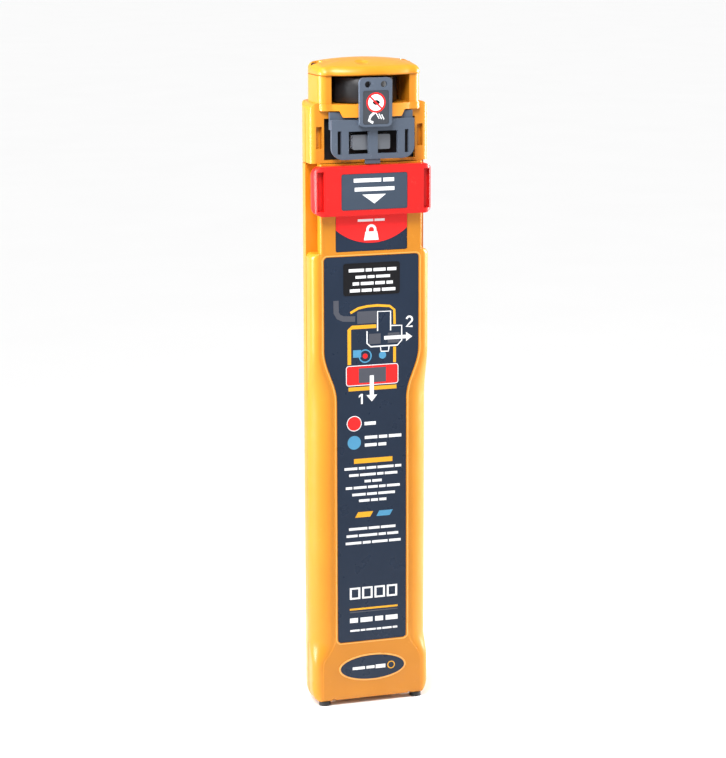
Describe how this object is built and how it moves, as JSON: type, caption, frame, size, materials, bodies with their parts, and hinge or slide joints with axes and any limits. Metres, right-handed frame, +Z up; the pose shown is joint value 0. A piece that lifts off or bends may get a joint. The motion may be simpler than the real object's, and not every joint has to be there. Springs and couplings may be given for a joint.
{
  "type": "emergency position beacon",
  "caption": "Slim hand-held emergency position beacon with a sliding lock, a pull-off release clip, push buttons and a coiled blade antenna in its head.",
  "frame": {"origin": "on the resting surface, under the middle of the beacon's bounding box", "axes": "+Z up along the case, +Y towards the back, -Y towards the label and the buttons, +X to the right seen from the front"},
  "size_m": [0.0378, 0.03, 0.201],
  "materials": {
    "case": "satin moulded plastic",
    "red_plastic": "satin moulded plastic",
    "clip_plastic": "satin moulded plastic",
    "label": "printed film",
    "black_plastic": "satin",
    "red_print": "printed film",
    "white_print": "printed film",
    "button_blue": "satin",
    "antenna": "satin coated spring steel",
    "rubber": "matt",
    "lens": "polished translucent",
    "steel": "plain",
    "brass": "plain",
    "led": "plain",
    "board": "lacquered",
    "ceramic": "matt",
    "cell": "printed sleeve",
    "grey_plastic": "matt"
  },
  "bodies": {
    "beacon_case": {"front_case": "case", "rear_case": "case", "case_seal": "rubber", "case_screws": "steel", "rear_plate": "label", "feet": "rubber", "head_frame": "case", "head_cap": "case", "cap_screws": "steel", "head_seal": "rubber", "strobe_bezel": "black_plastic", "strobe_lens": "lens", "strobe_led": "led", "antenna_hub": "black_plastic", "antenna_coil": "antenna", "antenna_clamp": "brass", "main_label": "label", "sky_view_label": "black_plastic", "lock_panel": "label", "locked_patch": "red_print", "base_badge": "label", "button_seal": "rubber", "button_switches": "steel", "main_board": "board", "radio_shield": "steel", "satellite_antenna": "ceramic", "battery_cells": "cell", "battery_cradle": "grey_plastic", "battery_straps": "steel"},
    "slider": {"lock_slider": "red_plastic", "slider_panel": "label"},
    "clip": {"release_clip": "clip_plastic", "clip_label": "clip_plastic"},
    "on_key": {"on_button": "red_plastic"},
    "test_key": {"test_button": "button_blue"}
  },
  "joints": [
    {"name": "slider_slide", "type": "slide", "parent": "beacon_case", "child": "slider", "axis": [0, 0, -1], "range_m": [0, 0.0112]},
    {"name": "clip_pull", "type": "slide", "parent": "beacon_case", "child": "clip", "axis": [1, 0, 0], "range_m": [0, 0.05]},
    {"name": "on_press", "type": "slide", "parent": "beacon_case", "child": "on_key", "axis": [0, 1, 0], "range_m": [0, 0.0006], "stiffness_N_per_m": 400},
    {"name": "test_press", "type": "slide", "parent": "beacon_case", "child": "test_key", "axis": [0, 1, 0], "range_m": [0, 0.0006], "stiffness_N_per_m": 400}
  ]
}
